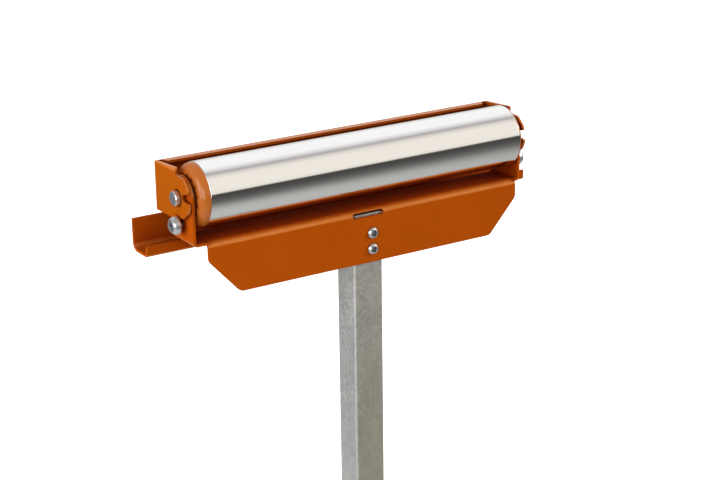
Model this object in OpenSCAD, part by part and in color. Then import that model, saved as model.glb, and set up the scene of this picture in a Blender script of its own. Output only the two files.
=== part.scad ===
// Roller stand: a chrome roller on a height-adjustable post, with a flip-over
// guard plate, a gutter rail behind the head and a bolted four-leg base.
// Millimetres, +Z up, +X along the roller, -Y is the front.
// The origin is on the floor, under the middle of the column.

/* [Roller] */
// Height of the top of the roller above the floor
roller_top = 945; // [930:5:990]
// Diameter of the roller tube
roller_d = 60; // [54:0.5:62]
// Length of the roller tube
roller_len = 339; // [200:1:700]
// Wall of the roller tube
roller_wall = 1.5; // [1:0.1:2.5]
// Diameter of the fixed axle
axle_d = 14; // [12:0.1:14]
// How far the left end cap stands out of the tube
cap_reach_left = 9; // [6:0.5:9]
// How far the right end cap stands out of the tube
cap_reach_right = 2.6; // [2:0.1:9]

/* [Head bracket] */
// Sheet thickness of the bracket, the guard and the rail
sheet_t = 2.5; // [2:0.1:3]
// Free space between the left end cap and its bracket ear
cap_gap_left = 3.1; // [2:0.1:8]
// Free space between the right end cap and its bracket ear
cap_gap_right = 1.6; // [1.4:0.1:8]
// Drop from the axle to the top of the bracket floor
floor_drop = 39.7; // [36:0.1:42]
// Free space behind the post inside the saddle
saddle_slack = 3.5; // [2:0.1:6]
// Distance from the outside of the left ear to the end of the apron
apron_relief = 14.5; // [14:0.5:40]
// Height of the apron from the floor's top to its lower edge
apron_h = 52.7; // [48:0.1:60]
// Length of the sloping cut at each lower corner of the apron
apron_cut_w = 31; // [15:1:45]
// Height of that sloping cut
apron_cut_h = 34; // [20:1:36]
// Height of the rear flange from the floor's top to its lower edge
flange_h = 14.6; // [12:0.1:16]

/* [Guard plate] */
// Distance from the axle to the outer face of the guard wall
guard_reach = 46.2; // [42:0.1:50]
// Height of the guard wall above the axle
guard_up = 24; // [20:0.5:28]
// Depth of the guard wall below the axle
guard_down = 22; // [16:0.5:22]
// Width of the lip folded along the top of the guard wall
guard_lip = 10; // [6:0.5:11]
// Distance from the axle to the stop screws
stop_drop = 25; // [24:0.1:27]

/* [Gutter rail] */
// How far the rail reaches past the left bracket ear
rail_over = 26.5; // [5:0.5:40]
// Depth of the rail from its lip to its back wall
rail_depth = 29; // [24:0.5:34]
// Height of the back wall of the rail
rail_back_h = 30.2; // [24:0.1:31]
// Height of the lip of the rail
rail_lip_h = 10.2; // [9:0.1:11]

/* [Post and column] */
// Width of the square inner post
post_w = 32; // [30:0.5:34]
// Wall of the inner post
post_wall = 2; // [1.5:0.1:3]
// Length of the inner post
post_len = 475; // [450:5:560]
// Wall of the outer column
column_wall = 2; // [1.5:0.1:3]
// Length of the post that shows between the bracket and the column at rest
post_show = 310; // [290:1:330]
// Height of the lower end of the outer column
column_foot = 30; // [28:1:38]

/* [Legs] */
// Distance from the column's middle to the end of each leg
leg_reach = 250; // [220:1:300]
// Width of each leg
leg_w = 40; // [38:0.5:46]
// Sheet thickness of the legs
leg_t = 2.5; // [2:0.1:3]
// Height of the top of each leg at the column
leg_root_top = 166; // [160:1:180]
// Height of a rubber foot
foot_h = 25; // [20:0.5:30]
// Diameter of a rubber foot at the floor
foot_d = 34; // [28:0.5:34]

/* [Clamp] */
// Diameter of the clamp knob
knob_d = 52; // [40:1:60]
// Thickness of the clamp knob's head
knob_h = 18; // [14:0.5:22]
// Diameter of the clamp screw
clamp_d = 10; // [8:0.5:10]
// Height of the clamp screw below the top of the column
clamp_below_top = 28; // [24:1:32]

/* [Hidden] */
$fn = 64;
sides = [-1, 1];

// Colours
orange_coat = [0.70, 0.30, 0.05];
orange_plastic = [0.74, 0.33, 0.10];
zinc = [0.70, 0.71, 0.70];
bright_steel = [0.80, 0.81, 0.82];
black_plastic = [0.08, 0.08, 0.08];
black_rubber = [0.05, 0.05, 0.05];

// Clearances and the overrun of every cut
overrun = 1;
fit_gap = 0.1;
run_gap = 0.05;
slide_gap = 0.3;
arc_steps = 7;

// Shift of the roller along its axle, from the middle of the post
roller_shift = -0.9;

// Places worked out from the driving sizes
axis_z = roller_top - roller_d / 2;
front_y = -post_w / 2 - sheet_t;
back_y = post_w / 2 + saddle_slack + sheet_t;
saddle_d = back_y - front_y;
axle_y = (front_y + back_y) / 2;
floor_top = axis_z - floor_drop;
floor_under = floor_top - sheet_t;
apron_foot = floor_top - apron_h;
flange_foot = floor_top - flange_h;
apron_half = ear_out(-1) - apron_relief;
rail_half = ear_out(-1) + rail_over;

// Bracket details
saddle_bend = 7;
ear_bend = 4;
apron_corner_r = 8;
slot_len = 34;
slot_w = 4.8;
slot_shift = -1.4;
post_gap = 2.5;
post_top = floor_under - post_gap;
column_top = post_top - post_show;
slot_z = floor_under - slot_w / 2 - fit_gap;

// Screws that hold the bracket to the post
screw_d = 6;
screw_hole_d = screw_d + 2 * slide_gap;
screw_x = 3;
screw_drops = [21.5, 37.3];
screw_head_d = 11;
screw_head_h = 3.3;
screw_key = 5;
head_rim_share = 0.3;
head_crown_share = 1.1;
socket_floor_share = 0.15;
screw_len = 16;
plate_w = 18;
plate_t = 5;
plate_margin = 9;

// Axle and bearings
axle_over = 5;
axle_chamfer = 0.8;
bearing_d = 28;
bearing_w = 8;
bearing_in = 1.5;
ball_d = 4.4;
ball_count = 8;
ball_circle_r = (axle_d + bearing_d) / 4;
ring_land = 1.4;
groove_gap = 0.3;
shield_t = 0.6;
shield_gap = 0.3;
clip_t = 1.2;
clip_d = 21;
clip_mouth = 9;
spacer_wall = 2;

// End caps
cap_plug_len = 18;
cap_wall = 2.5;
cap_land = 1.6;
cap_round = 9;
cap_rim_drop = 0.4;
cap_rim_r = roller_d / 2 - cap_rim_drop;
cap_recess = 6.5;
cap_rib_t = 1.8;
cap_rib_count = 10;
cap_web = 3;

// Guard
guard_gap_left = 1.2;
guard_gap_right = 3.4;
guard_bend = 4;
guard_lip_inset = 2.2;
guard_lip_bevel = 5.5;
guard_peak = 3.2;
guard_peak_run = 0.5;
guard_foot_r = 1.5;
guard_peak_r = 1.2;
guard_throat_share = 0.93;
guard_block = guard_reach + guard_up + guard_down;
nose_shares = [[-0.44, 0.9], [-0.83, 0.56], [-0.9, 0.34], [-0.42, 0.25], [-0.42, -0.02],
    [-1, -0.07], [-0.82, -0.5], [-0.4, -0.8]];
nose_radii = [6, 4, 2, 3, 3, 2, 5, 6];
lug_w = 3;
lug_rise = 1.5;
lug_slope_w = 3;
lug_r = 1;
lug_root_r = 2;
lug_root_rise = 1;
stop_d = 5;
stop_clear_r = stop_drop - stop_d / 2 - slide_gap;
guard_slot_run = 3;
guard_slot_turn = 150;
stop_head_d = 17;
stop_head_h = 6.4;
stop_key = 6;
stop_gap_left = 1.6;
stop_gap_right = 3.4;
stop_collar_d = 11;
stop_collar_h = 1.2;

// Rail
rail_drop = 3.6;
rail_foot = flange_foot - rail_drop;
rail_bend = 8;
rail_lip_bend = 3;
rivet_d = 3.2;
rivet_head_d = 6.2;
rivet_head_h = 1.4;
rivet_tail_d = 4.6;
rivet_tail_h = 2.2;
rivet_share = [-0.33, -0.14, 0.14, 0.33];

// Post and column
post_r = 3;
post_r_in = 1.2;
column_gap = 2;
column_w = post_w + 2 * column_gap + 2 * column_wall;
column_hole = column_w - 2 * column_wall;
column_r = 4;
column_r_in = 2;
bush_flange = 2.5;
bush_flange_h = 4;
bush_depth = 46;
plug_depth = 14;
plug_flange_h = 4;
plug_wall = 2;

// Clamp
clamp_z = column_top - clamp_below_top;
clamp_lead = 1.5;
pad_over = 3.4;
pad_d = clamp_d + pad_over;
pad_t = 2.5;
pad_gap = 0.2;
pad_bore_d = 6;
pad_bore_depth = 1.5;
boss_d = 20;
boss_h = 14;
boss_pocket = 2.6;
knob_gap = 8;
knob_hub_d = 22;
knob_hub_h = 6;
knob_lobes = 5;
knob_lobe_r = 9;
knob_dip_r = 13;
knob_core_share = 0.33;
knob_dip_share = 0.33;
pad_x = post_w / 2 + pad_gap;
knob_x = column_w / 2 + boss_h + knob_gap;

// Legs and feet
leg_root_low = 42;
leg_root_flat = 10;
leg_toe_len = 46;
leg_toe_skirt = 11;
leg_bend_r = 14;
leg_heel_r = 40;
leg_toe_r = 10;
bolt_d = 8;
bolt_key = 13;
bolt_head_h = 5.3;
nut_h = 8;
washer_d = 16;
washer_t = 1.6;
bolt_tail = 2.4;
bolt_side_z = [74, 122];
bolt_front_z = [92, 140];
foot_top_d = 29;
foot_from_end = 22;
foot_bevel = 2;
foot_screw_d = 6;
foot_pan_d = 13;
foot_pan_h = 4;
foot_pocket = 9;
foot_nut_key = 10;
foot_nut_h = 6;
foot_screw_tail = 1.5;
foot_r = leg_reach - foot_from_end;
grip = column_w / 2 + leg_t;

function unit(v) = v / norm(v);
function flat_xy(p) = [p[0], p[1]];

// Distances from the middle of the post to what lies at one end of the roller,
// where side is -1 at the left end and 1 at the right
function reach(side) = side < 0 ? cap_reach_left : cap_reach_right;
function cap_gap(side) = side < 0 ? cap_gap_left : cap_gap_right;
function guard_gap(side) = side < 0 ? guard_gap_left : guard_gap_right;
function tube_end(side) = roller_len / 2 + side * roller_shift;
function bearing_out(side) = tube_end(side) + reach(side) - bearing_in;
function ear_in(side) = tube_end(side) + reach(side) + cap_gap(side);
function ear_out(side) = ear_in(side) + sheet_t;
function guard_in(side) = ear_out(side) + guard_gap(side);
function guard_out(side) = guard_in(side) + sheet_t;
function stop_seat(side) = guard_out(side) + (side < 0 ? stop_gap_left : stop_gap_right);

// Points of one corner of an outline, as an arc of radius r
function corner_arc(before, at, after, r) =
    r <= 0 ? [at] :
    let (
        a = unit(before - at),
        b = unit(after - at),
        half = acos(a * b) / 2,
        mid = at + unit(a + b) * (r / sin(half)),
        from = at + a * (r / tan(half)) - mid,
        to = at + b * (r / tan(half)) - mid,
        start = atan2(from[1], from[0]),
        sweep = (atan2(to[1], to[0]) - start + 540) % 360 - 180
    )
    [for (i = [0 : arc_steps])
        mid + r * [cos(start + sweep * i / arc_steps), sin(start + sweep * i / arc_steps)]];

// Outline from corners given as [x, y, radius]
function rounded(c) = [for (i = [0 : len(c) - 1])
    each corner_arc(flat_xy(c[(i + len(c) - 1) % len(c)]), flat_xy(c[i]),
        flat_xy(c[(i + 1) % len(c)]), c[i][2])];

// A (y, z) shape drawn along X from x0 to x1
module along_x(x0, x1) {
    translate([x0, 0, 0]) rotate([90, 0, 90]) linear_extrude(x1 - x0) children();
}

// An (x, z) shape drawn along Y from y0 to y1
module along_y(y0, y1) {
    translate([0, y1, 0]) rotate([90, 0, 0]) linear_extrude(y1 - y0) children();
}

module rod_x(x0, x1, d) {
    translate([x0, 0, 0]) rotate([0, 90, 0]) cylinder(h = x1 - x0, d = d);
}

module rod_y(y0, y1, d) {
    translate([0, y0, 0]) rotate([-90, 0, 0]) cylinder(h = y1 - y0, d = d);
}

module both_ends() {
    children();
    mirror([1, 0, 0]) children();
}

// Turns a piece drawn for the right end to face its own side
module facing(side) {
    if (side < 0) mirror([1, 0, 0]) children();
    else children();
}

// Anything drawn about the X axis, moved onto the axle
module on_axle() {
    translate([0, axle_y, axis_z]) children();
}

// A hexagon prism along Z, measured across its flats
module hex_bar(key, h) {
    cylinder(h = h, d = key / cos(30), $fn = 6);
}

// Screw head on the z = 0 plane, with a domed and flat-topped crown and a hexagon socket
module button_head(d, h, key) {
    rim = h * head_rim_share;
    crown = h * head_crown_share;
    dome = (d * d / 4 + crown * crown) / (2 * crown);
    difference() {
        intersection() {
            cylinder(h = h, d = d);
            union() {
                cylinder(h = rim, d = d);
                translate([0, 0, rim + crown - dome]) sphere(r = dome, $fn = 96);
            }
        }
        translate([0, 0, h * socket_floor_share]) hex_bar(key, h);
    }
}

// Square with round corners, centred
module soft_square(w, r) {
    polygon(rounded([[-w / 2, -w / 2, r], [w / 2, -w / 2, r], [w / 2, w / 2, r], [-w / 2, w / 2, r]]));
}

module saddle_profile() {
    polygon(rounded([
        [front_y, apron_foot, 0],
        [front_y, floor_top, saddle_bend],
        [back_y, floor_top, saddle_bend],
        [back_y, flange_foot, 0],
        [back_y - sheet_t, flange_foot, 0],
        [back_y - sheet_t, floor_under, saddle_bend - sheet_t],
        [front_y + sheet_t, floor_under, saddle_bend - sheet_t],
        [front_y + sheet_t, apron_foot, 0]]));
}

module apron_outline() {
    half = apron_half;
    polygon(rounded([
        [-half, floor_top, 0],
        [-half, apron_foot + apron_cut_h, apron_corner_r],
        [-half + apron_cut_w, apron_foot, apron_corner_r],
        [half - apron_cut_w, apron_foot, apron_corner_r],
        [half, apron_foot + apron_cut_h, apron_corner_r],
        [half, floor_top, 0]]));
}

// One ear with the strip of floor that it is folded up from
module bracket_ear(side) {
    face_in = ear_in(side);
    face_out = ear_out(side);
    facing(side) {
        intersection() {
            along_y(front_y, back_y) polygon(rounded([
                [apron_half - overrun, floor_under, 0],
                [face_out, floor_under, ear_bend],
                [face_out, axis_z + saddle_d, 0],
                [face_in, axis_z + saddle_d, 0],
                [face_in, floor_top, ear_bend - sheet_t],
                [apron_half - overrun, floor_top, 0]]));
            along_x(0, face_out + overrun) union() {
                translate([axle_y, axis_z]) circle(d = saddle_d, $fn = 96);
                translate([front_y, floor_under]) square([saddle_d, axis_z - floor_under]);
            }
        }
        on_axle() translate([0, 0, -stop_drop])
            rod_x(face_in - stop_collar_h, face_in, stop_collar_d);
    }
}

module slot_cut() {
    reach = slot_len / 2 - slot_w / 2;
    translate([slot_shift, front_y - overrun, slot_z]) {
        for (s = [-1, 1]) translate([s * reach, 0, 0]) rod_y(0, saddle_bend, slot_w);
        translate([-reach, 0, -slot_w / 2]) cube([2 * reach, saddle_bend, slot_w]);
    }
}

module head_bracket() {
    color(orange_coat) difference() {
        union() {
            intersection() {
                along_x(-apron_half, apron_half) saddle_profile();
                union() {
                    along_y(front_y - overrun, 0) apron_outline();
                    translate([-apron_half, 0, flange_foot])
                        cube([2 * apron_half, back_y, flange_h]);
                }
            }
            for (side = sides) bracket_ear(side);
        }
        slot_cut();
        for (drop = screw_drops)
            translate([screw_x, 0, floor_under - drop])
                rod_y(front_y - overrun, front_y + sheet_t + overrun, screw_hole_d);
        for (side = sides) facing(side) on_axle() {
            rod_x(ear_in(side) - overrun, ear_out(side) + overrun, axle_d + 2 * fit_gap);
            translate([0, 0, -stop_drop])
                rod_x(ear_in(side) - stop_collar_h - overrun, ear_out(side) + overrun, stop_d + 2 * fit_gap);
        }
        at_rivets() rod_y(back_y - sheet_t - overrun, back_y + overrun, rivet_d + 2 * fit_gap);
    }
}

// Screws that hold the apron to the front wall of the post
module apron_screws() {
    color(bright_steel) for (drop = screw_drops)
        translate([screw_x, front_y, floor_under - drop]) {
            rotate([90, 0, 0]) button_head(screw_head_d, screw_head_h, screw_key);
            rod_y(0, screw_len, screw_d);
        }
}

// Threaded plate inside the post that the apron screws pull on
module screw_plate() {
    front = -post_w / 2 + post_wall;
    low = floor_under - max(screw_drops) - plate_margin;
    high = floor_under - min(screw_drops) + plate_margin;
    color(zinc) difference() {
        translate([-plate_w / 2, front, low]) cube([plate_w, plate_t, high - low]);
        for (drop = screw_drops)
            translate([screw_x, 0, floor_under - drop])
                rod_y(front - overrun, front + plate_t + overrun, screw_d + 2 * fit_gap);
    }
}

module rail_profile() {
    low = rail_foot;
    far = back_y + rail_depth;
    polygon(rounded([
        [back_y, low + rail_lip_h, 0],
        [back_y, low, rail_lip_bend],
        [far, low, rail_bend],
        [far, low + rail_back_h, 0],
        [far - sheet_t, low + rail_back_h, 0],
        [far - sheet_t, low + sheet_t, rail_bend - sheet_t],
        [back_y + sheet_t, low + sheet_t, rail_lip_bend - sheet_t],
        [back_y + sheet_t, low + rail_lip_h, 0]]));
}

module at_rivets() {
    for (share = rivet_share)
        translate([share * 2 * rail_half, 0, (flange_foot + rail_foot + rail_lip_h) / 2]) children();
}

module gutter_rail() {
    color(orange_coat) difference() {
        along_x(-rail_half, rail_half) rail_profile();
        at_rivets() rod_y(back_y - overrun, back_y + sheet_t + overrun, rivet_d + 2 * fit_gap);
    }
}

// Blind rivets through the lip of the rail and the rear flange
module rail_rivets() {
    color(zinc) at_rivets() {
        rod_y(back_y - sheet_t, back_y + sheet_t, rivet_d);
        translate([0, back_y + sheet_t, 0]) rotate([-90, 0, 0])
            cylinder(h = rivet_head_h, d1 = rivet_head_d, d2 = rivet_head_d / 2);
        rod_y(back_y - sheet_t - rivet_tail_h, back_y - sheet_t, rivet_tail_d);
    }
}

module roller_axle() {
    color(bright_steel) on_axle() for (side = sides) facing(side) {
        shoulder = guard_out(side) + axle_over - axle_chamfer;
        rod_x(0, shoulder, axle_d);
        translate([shoulder, 0, 0]) rotate([0, 90, 0])
            cylinder(h = axle_chamfer, d1 = axle_d, d2 = axle_d - 2 * axle_chamfer);
    }
}

// Snap rings that keep the axle between the ears
module axle_clips() {
    color(zinc) on_axle() for (side = sides) facing(side)
        translate([ear_in(side) - fit_gap - clip_t, 0, 0]) difference() {
            rod_x(0, clip_t, clip_d);
            rod_x(-overrun, clip_t + overrun, axle_d + 2 * fit_gap);
            translate([-overrun, -clip_mouth / 2, -clip_d])
                cube([clip_t + 2 * overrun, clip_mouth, clip_d]);
        }
}

// Sleeves between the bearings and the snap rings
module axle_spacers() {
    color(zinc) on_axle() for (side = sides) facing(side) difference() {
        rod_x(bearing_out(side), ear_in(side) - fit_gap - clip_t, axle_d + 2 * spacer_wall);
        rod_x(bearing_out(side) - overrun, ear_in(side), axle_d + 2 * fit_gap);
    }
}

// A body of revolution about X from a (radius, x) profile
module turn_x() {
    rotate([0, 90, 0]) rotate_extrude($fn = 96) children();
}

module roller_tube() {
    color("silver") on_axle() difference() {
        rod_x(-tube_end(-1), tube_end(1), roller_d, $fn = 128);
        rod_x(-tube_end(-1) - overrun, tube_end(1) + overrun, roller_d - 2 * roller_wall);
    }
}

// Moulded end cap: a plug in the tube, a rounded rim and a ribbed hub
module roller_cap(side) {
    edge = tube_end(side);
    curve = min(reach(side), cap_round);
    rim_in = cap_rim_r - cap_round - cap_land;
    plug_r = roller_d / 2 - roller_wall - fit_gap;
    hub_r = bearing_d / 2 + fit_gap + cap_wall;
    out = edge + reach(side);
    seat = bearing_out(side) - bearing_w;
    floor_x = out - cap_recess;
    turn_x() {
        intersection() {
            translate([cap_rim_r - curve, out - curve]) circle(r = curve);
            translate([cap_rim_r - curve, out - curve]) square(curve);
        }
        translate([rim_in, edge - cap_plug_len]) square([plug_r - rim_in, cap_plug_len]);
        translate([rim_in, edge]) square([cap_rim_r - curve - rim_in, reach(side)]);
        translate([hub_r - cap_wall, floor_x - cap_web])
            square([rim_in - hub_r + 2 * cap_wall, cap_web]);
        translate([hub_r - cap_wall, seat - cap_web])
            square([cap_wall, out - fit_gap - seat + cap_web]);
        translate([axle_d / 2 + spacer_wall, seat - cap_web])
            square([hub_r - axle_d / 2 - spacer_wall, cap_web]);
    }
    for (i = [0 : cap_rib_count - 1]) rotate([i * 360 / cap_rib_count, 0, 0])
        translate([floor_x - overrun, -cap_rib_t / 2, hub_r - cap_wall / 2])
            cube([cap_recess - overrun, cap_rib_t, rim_in - hub_r + cap_wall]);
}

module roller_cap_right() {
    color(orange_plastic) on_axle() roller_cap(1);
}

module roller_cap_left() {
    color(orange_plastic) on_axle() facing(-1) roller_cap(-1);
}

// One bearing ring as a (radius, x) profile with its ball groove
module ring_profile(r0, r1) {
    difference() {
        translate([r0, 0]) square([r1 - r0, bearing_w]);
        translate([ball_circle_r, bearing_w / 2]) circle(d = ball_d + 2 * groove_gap);
    }
}

// Anything drawn from the inner face of a bearing, at both bearings
module at_bearings() {
    for (side = sides) facing(side) translate([bearing_out(side) - bearing_w, 0, 0]) children();
}

module bearing_inner_rings() {
    color(bright_steel) on_axle() at_bearings() turn_x()
        ring_profile(axle_d / 2 + fit_gap, ball_circle_r - ring_land);
}

module bearing_outer_rings() {
    shield_r = ball_circle_r - ring_land + shield_gap;
    color(bright_steel) on_axle() at_bearings() turn_x() {
        ring_profile(ball_circle_r + ring_land, bearing_d / 2);
        for (x = [0, bearing_w - shield_t])
            translate([shield_r, x]) square([ball_circle_r + 2 * ring_land - shield_r, shield_t]);
    }
}

module bearing_balls() {
    color(bright_steel) on_axle() at_bearings() for (i = [0 : ball_count - 1])
        rotate([i * 360 / ball_count, 0, 0])
            translate([bearing_w / 2, 0, ball_circle_r]) sphere(d = ball_d, $fn = 24);
}

// Side outline of the guard: wall, ear, stop lug and the notched nose
module guard_side() {
    nose = stop_clear_r;
    seat = stop_d / 2 + slide_gap;
    lug_z = -stop_drop + lug_rise;
    polygon(rounded(concat([
        [guard_reach, -guard_down, guard_foot_r],
        [guard_reach, guard_up, guard_bend],
        [seat, guard_up + guard_peak, guard_peak_r],
        [seat + guard_peak_run, nose * guard_throat_share, guard_peak_r]],
        [for (i = [0 : len(nose_shares) - 1])
            [nose * nose_shares[i][0], nose * nose_shares[i][1], nose_radii[i]]],
        [[seat, nose * nose_shares[len(nose_shares) - 1][1], lug_r],
        [seat, lug_z, lug_r],
        [seat + lug_w, lug_z, lug_r],
        [seat + lug_w + lug_slope_w, -guard_down + lug_root_rise, lug_root_r]])));
}

module guard_plate() {
    left_in = -guard_in(-1);
    left_out = -guard_out(-1);
    right_in = guard_in(1);
    right_out = guard_out(1);
    lip_left = left_in + guard_lip_inset;
    lip_right = right_in - guard_lip_inset;
    color(orange_coat) on_axle() difference() {
        union() {
            intersection() {
                translate([0, 0, -guard_block]) linear_extrude(2 * guard_block) polygon(rounded([
                    [left_out, -guard_block, 0],
                    [left_in, -guard_block, 0],
                    [left_in, guard_reach - sheet_t, guard_bend - sheet_t],
                    [right_in, guard_reach - sheet_t, guard_bend - sheet_t],
                    [right_in, -guard_block, 0],
                    [right_out, -guard_block, 0],
                    [right_out, guard_reach, guard_bend],
                    [left_out, guard_reach, guard_bend]]));
                along_x(left_out, right_out) guard_side();
            }
            intersection() {
                along_x(lip_left, lip_right) polygon(rounded([
                    [guard_reach, guard_up - guard_bend, 0],
                    [guard_reach, guard_up, guard_bend],
                    [guard_reach - guard_lip, guard_up, 0],
                    [guard_reach - guard_lip, guard_up - sheet_t, 0],
                    [guard_reach - sheet_t, guard_up - sheet_t, guard_bend - sheet_t],
                    [guard_reach - sheet_t, guard_up - guard_bend, 0]]));
                linear_extrude(guard_block) polygon([
                    [lip_left, guard_reach],
                    [lip_right, guard_reach],
                    [lip_right - guard_lip_bevel, guard_reach - guard_lip],
                    [lip_left + guard_lip_bevel, guard_reach - guard_lip]]);
            }
        }
        for (side = sides) facing(side) guard_slot(guard_in(side) - overrun);
    }
}

// Slotted hole that hangs the guard on the axle end, cut outwards from start
module guard_slot(start) {
    hole_d = axle_d + 2 * run_gap;
    depth = sheet_t + 2 * overrun;
    translate([start, 0, 0]) rotate([guard_slot_turn - 180, 0, 0]) {
        rod_x(0, depth, hole_d);
        translate([0, guard_slot_run, 0]) rod_x(0, depth, hole_d);
        translate([0, 0, -hole_d / 2]) cube([depth, guard_slot_run, hole_d]);
    }
}

// Wide-headed screws in the bracket ears that the guard stops against
module stop_screws() {
    color(bright_steel) on_axle() for (side = sides) facing(side) translate([0, 0, -stop_drop]) {
        rod_x(ear_in(side) - stop_collar_h, stop_seat(side), stop_d);
        translate([stop_seat(side), 0, 0]) rotate([0, 90, 0])
            button_head(stop_head_d, stop_head_h, stop_key);
    }
}

module inner_post() {
    color(zinc) difference() {
        translate([0, 0, post_top - post_len]) linear_extrude(post_len) difference() {
            soft_square(post_w, post_r);
            soft_square(post_w - 2 * post_wall, post_r_in);
        }
        for (drop = screw_drops)
            translate([screw_x, 0, floor_under - drop])
                rod_y(-post_w / 2 - overrun, -post_w / 2 + post_wall + overrun, screw_d + 2 * fit_gap);
    }
}

// Glide plug in the lower end of the post
module post_plug() {
    hole = post_w - 2 * post_wall - 2 * fit_gap;
    color(black_plastic) translate([0, 0, post_top - post_len]) difference() {
        union() {
            translate([0, 0, -plug_flange_h]) linear_extrude(plug_flange_h)
                soft_square(column_hole - 2 * slide_gap, column_r_in);
            linear_extrude(plug_depth) soft_square(hole, post_r_in);
        }
        linear_extrude(plug_depth + overrun) soft_square(hole - 2 * plug_wall, post_r_in);
    }
}

module outer_column() {
    color(orange_coat) difference() {
        translate([0, 0, column_foot]) linear_extrude(column_top - column_foot) difference() {
            soft_square(column_w, column_r);
            soft_square(column_hole, column_r_in);
        }
        translate([0, 0, clamp_z]) rod_x(0, column_w, pad_d + 2 * slide_gap);
        for (z = bolt_side_z) translate([0, 0, z]) rod_x(-column_w, column_w, bolt_d + 2 * slide_gap);
        for (z = bolt_front_z) translate([0, 0, z]) rod_y(-column_w, column_w, bolt_d + 2 * slide_gap);
    }
}

// Plastic guide bush in the top of the column
module column_bush() {
    color(black_plastic) difference() {
        union() {
            translate([0, 0, column_top]) linear_extrude(bush_flange_h)
                soft_square(column_w + 2 * bush_flange, column_r + bush_flange);
            translate([0, 0, column_top - bush_depth]) linear_extrude(bush_depth)
                soft_square(column_hole - 2 * fit_gap, column_r_in);
        }
        translate([0, 0, column_top - bush_depth - overrun])
            linear_extrude(bush_depth + bush_flange_h + 2 * overrun)
                soft_square(post_w + 2 * slide_gap, post_r);
        translate([0, 0, clamp_z]) rod_x(0, column_w, pad_d + 2 * slide_gap);
    }
}

module column_end_cap() {
    color(black_plastic) translate([0, 0, column_foot]) {
        translate([0, 0, -plug_flange_h]) linear_extrude(plug_flange_h) soft_square(column_w, column_r);
        linear_extrude(plug_depth) difference() {
            soft_square(column_hole - 2 * fit_gap, column_r_in);
            soft_square(column_hole - 2 * plug_wall, column_r_in);
        }
    }
}

// Threaded boss on the column for the clamp screw
module clamp_boss() {
    face = column_w / 2;
    color(orange_coat) translate([0, 0, clamp_z]) difference() {
        rod_x(face, face + boss_h, boss_d);
        rod_x(face - overrun, face + boss_h + overrun, clamp_d + 2 * fit_gap);
        rod_x(face - overrun, face + boss_pocket, pad_d + 2 * slide_gap);
    }
}

// Loose pad on the tip of the clamp screw that presses on the post
module clamp_pad() {
    color("goldenrod") translate([0, 0, clamp_z]) difference() {
        rod_x(pad_x, pad_x + pad_t, pad_d);
        rod_x(pad_x + pad_t - pad_bore_depth, pad_x + pad_t + overrun, pad_bore_d + 2 * run_gap);
    }
}

module clamp_screw() {
    tip = pad_x + pad_t - pad_bore_depth + run_gap;
    shoulder = pad_x + pad_t + run_gap;
    color(zinc) translate([0, 0, clamp_z]) {
        rod_x(tip, shoulder, pad_bore_d);
        rod_x(shoulder, knob_x + knob_h, clamp_d);
    }
}

// Five-lobed hand knob
module clamp_knob() {
    ring_r = knob_d / 2 - knob_lobe_r;
    step = 360 / knob_lobes;
    color(black_plastic) translate([knob_x, 0, clamp_z]) rotate([0, 90, 0]) difference() {
        union() {
            cylinder(h = knob_hub_h, d = knob_hub_d);
            translate([0, 0, knob_hub_h]) linear_extrude(knob_h) difference() {
                union() {
                    for (i = [0 : knob_lobes - 1]) rotate(i * step)
                        translate([ring_r, 0]) circle(r = knob_lobe_r);
                    circle(r = ring_r + knob_lobe_r * knob_core_share);
                }
                for (i = [0 : knob_lobes - 1]) rotate((i + 0.5) * step)
                    translate([knob_d / 2 + knob_dip_r * knob_dip_share, 0]) circle(r = knob_dip_r);
            }
        }
        translate([0, 0, -overrun]) cylinder(h = knob_h + overrun + run_gap, d = clamp_d + 2 * fit_gap);
    }
}

// Side outline of a leg in (distance from the column's middle, height),
// drawn inset by a sheet thickness for its hollow inside
module leg_side(inset) {
    root = column_w / 2 + inset;
    toe_z = foot_h + leg_t - inset;
    slope = atan2(leg_root_top - foot_h - leg_t, leg_reach - leg_toe_len - column_w / 2 - leg_root_flat);
    drop = inset / cos(slope) - inset;
    low = inset > 0 ? overrun : 0;
    polygon(rounded([
        [root, leg_root_low - low, 0],
        [root, leg_root_top - inset, 0],
        [column_w / 2 + leg_root_flat - drop / tan(slope), leg_root_top - inset, max(leg_bend_r - inset, 0)],
        [leg_reach - leg_toe_len - drop / tan(slope), toe_z, leg_heel_r + inset],
        [leg_reach - inset, toe_z, 0],
        [leg_reach - inset, foot_h + leg_t - leg_toe_skirt - low, 0],
        [leg_reach - leg_toe_len, foot_h + leg_t - leg_toe_skirt - low, leg_toe_r]]));
}

// One pressed channel leg, pointing along +X
module leg() {
    difference() {
        along_y(-leg_w / 2, leg_w / 2) leg_side(0);
        along_y(-leg_w / 2 + leg_t, leg_w / 2 - leg_t) leg_side(leg_t);
        translate([foot_r, 0, foot_h - overrun])
            cylinder(h = leg_t + 2 * overrun, d = foot_screw_d + 2 * slide_gap);
    }
}

module bolt_holes(heights) {
    for (z = heights) translate([0, 0, z])
        rod_x(column_w / 2 - overrun, column_w / 2 + leg_t + overrun, bolt_d + 2 * slide_gap);
}

module side_leg() {
    color(orange_coat) difference() {
        leg();
        bolt_holes(bolt_side_z);
    }
}

module front_leg() {
    color(orange_coat) difference() {
        leg();
        bolt_holes(bolt_front_z);
    }
}

module leg_right() {
    side_leg();
}

module leg_left() {
    rotate(180) side_leg();
}

module leg_rear() {
    rotate(90) front_leg();
}

module leg_front() {
    rotate(-90) front_leg();
}

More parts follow.
